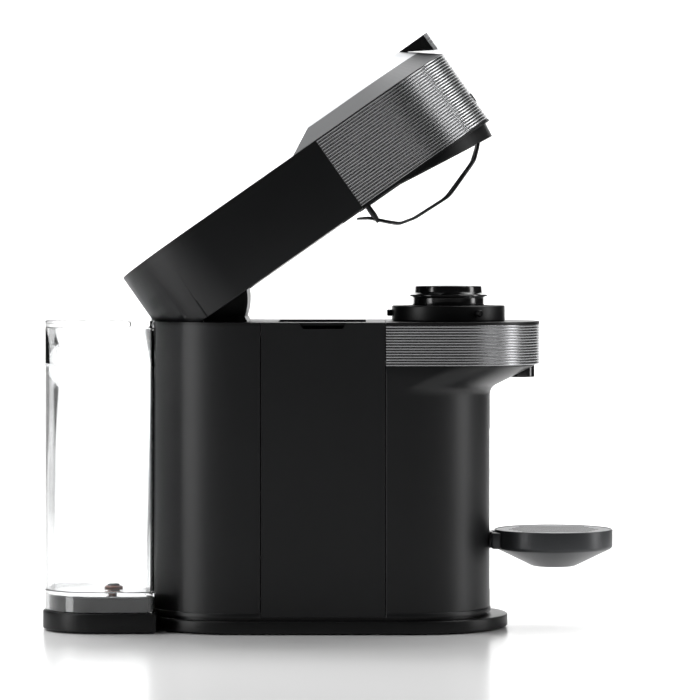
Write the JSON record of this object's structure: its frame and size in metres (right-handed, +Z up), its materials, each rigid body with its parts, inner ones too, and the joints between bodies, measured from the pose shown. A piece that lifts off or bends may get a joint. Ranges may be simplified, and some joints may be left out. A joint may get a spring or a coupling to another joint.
{
  "type": "pod coffee machine",
  "caption": "Capsule coffee machine with tilting bayonet-locked head, ribbed cover, ejector hoop, clear rear water tank, used-capsule container and sliding round cup support.",
  "frame": {"origin": "bottom centre of the machine's bounding box, head open", "axes": "+X towards the cup, +Z up, symmetric about the XZ plane"},
  "size_m": [0.43, 0.142, 0.45],
  "materials": {
    "matte_black": "fine-grained matt black moulded plastic",
    "satin_black": "satin black moulded plastic",
    "gloss_black": "polished black plastic",
    "ribbed_grey": "satin dark grey plastic with fine horizontal ribs",
    "smooth_grey": "smooth dark grey plastic",
    "silver_top": "pale silver satin paint",
    "chrome": "polished chrome plating",
    "support_grey": "satin graphite plastic",
    "clear": "clear moulded polymer",
    "steel": "turned steel",
    "spring_wire": "black coated wire",
    "rubber": "soft rubber",
    "seal_red": "brown-red silicone",
    "cast_alloy": "cast alloy",
    "inner_grey": "dark grey structural plastic",
    "white_light": "milky light guide",
    "board_green": "circuit board",
    "hose_clear": "milky silicone hose",
    "bush_cream": "sliding bush plastic"
  },
  "bodies": {
    "machine": {"base_plate": "satin_black", "rubber_feet": "rubber", "base_screws": "steel", "chassis_frame": "inner_grey", "rear_housing": "matte_black", "rear_deck": "satin_black", "hinge_cradle": "satin_black", "hinge_shaft": "steel", "hinge_springs": "steel", "side_panel": "matte_black", "front_column": "matte_black", "ribbed_band": "ribbed_grey", "band_cap": "satin_black", "brew_chamber": "inner_grey", "holder_bearing": "steel", "bayonet_collar": "satin_black", "coffee_spout": "gloss_black", "cup_rail": "inner_grey", "pump": "cast_alloy", "pump_mounts": "rubber", "heater": "cast_alloy", "flow_meter": "white_light", "water_hoses": "hose_clear", "main_board": "board_green", "tank_pedestal": "gloss_black", "tank_inlet": "seal_red", "cable_gland": "satin_black"},
    "head": {"arm_shell": "matte_black", "arm_underside": "satin_black", "head_cover": "ribbed_grey", "head_rim": "satin_black", "head_bezel": "smooth_grey", "head_top": "silver_top", "front_badge": "chrome", "head_chassis": "inner_grey", "hoop_guides": "inner_grey", "brew_motor": "cast_alloy", "motor_bracket": "cast_alloy", "control_board": "board_green", "light_ring": "white_light", "hinge_barrels": "inner_grey", "hinge_bushes": "bush_cream"},
    "lock": {"lock_lever": "gloss_black", "lever_tip": "chrome", "lock_ring": "inner_grey"},
    "button": {"coffee_button": "silver_top"},
    "skirt": {"splash_skirt": "satin_black"},
    "hoop": {"ejector_hoop": "spring_wire"},
    "rotor": {"brew_rotor": "inner_grey", "brew_seal": "rubber", "needle_plate": "steel"},
    "holder": {"capsule_holder": "gloss_black"},
    "container": {"capsule_container": "satin_black", "container_panel": "matte_black"},
    "tank": {"water_tank": "clear", "lid_strip": "clear"},
    "valve": {"tank_valve": "seal_red"},
    "lid": {"tank_lid": "clear"},
    "cup_stand": {"cup_support": "support_grey"},
    "grid": {"drip_grid": "support_grey"}
  },
  "joints": [
    {"name": "head_hinge", "type": "hinge", "parent": "machine", "child": "head", "pos_m": [-0.0979, 0, 0.248], "axis": [0, 1, 0], "range_deg": [0, 35]},
    {"name": "lock_turn", "type": "hinge", "parent": "head", "child": "lock", "pos_m": [0.0484, 0, 0.36753], "axis": [-0.5736, 0, 0.8192], "range_deg": [0, 35]},
    {"name": "coffee_press", "type": "slide", "parent": "head", "child": "button", "axis": [0.5736, 0, -0.8192], "range_m": [0, 0.0015], "stiffness_N_per_m": 900, "springref_m": -0.001},
    {"name": "hoop_slide", "type": "slide", "parent": "head", "child": "hoop", "axis": [-0.5736, 0, 0.8192], "range_m": [0, 0.0305]},
    {"name": "skirt_swing", "type": "hinge", "parent": "head", "child": "skirt", "pos_m": [0.0158, 0, 0.31907], "axis": [0, 1, 0], "range_deg": [-7.5, 0]},
    {"name": "rotor_spin", "type": "hinge", "parent": "head", "child": "rotor", "pos_m": [0.0484, 0, 0.36753], "axis": [-0.5736, 0, 0.8192], "continuous": true},
    {"name": "holder_spin", "type": "hinge", "parent": "machine", "child": "holder", "pos_m": [0.0905, 0, 0.24], "axis": [0, 0, 1], "continuous": true},
    {"name": "container_slide", "type": "slide", "parent": "machine", "child": "container", "axis": [0, -1, 0], "range_m": [0, 0.15]},
    {"name": "tank_tilt", "type": "hinge", "parent": "machine", "child": "tank", "pos_m": [-0.212, 0, 0.0174], "axis": [0, -1, 0], "range_deg": [0, 20]},
    {"name": "valve_lift", "type": "slide", "parent": "tank", "child": "valve", "axis": [0, 0, 1], "range_m": [0, 0.002], "stiffness_N_per_m": 120, "springref_m": -0.004},
    {"name": "lid_hinge", "type": "hinge", "parent": "tank", "child": "lid", "pos_m": [-0.1491, 0, 0.22975], "axis": [0, 1, 0], "range_deg": [0, 50]},
    {"name": "cup_height", "type": "slide", "parent": "machine", "child": "cup_stand", "axis": [0, 0, 1], "range_m": [-0.025, 0.055]},
    {"name": "grid_lift", "type": "slide", "parent": "cup_stand", "child": "grid", "axis": [0, 0, 1], "range_m": [0, 0.03]}
  ],
  "couplings": [
    {"joint": "hoop_slide", "follows": "head_hinge", "m_per_rad": 0.0499},
    {"joint": "skirt_swing", "follows": "head_hinge", "ratio": -0.2142}
  ]
}
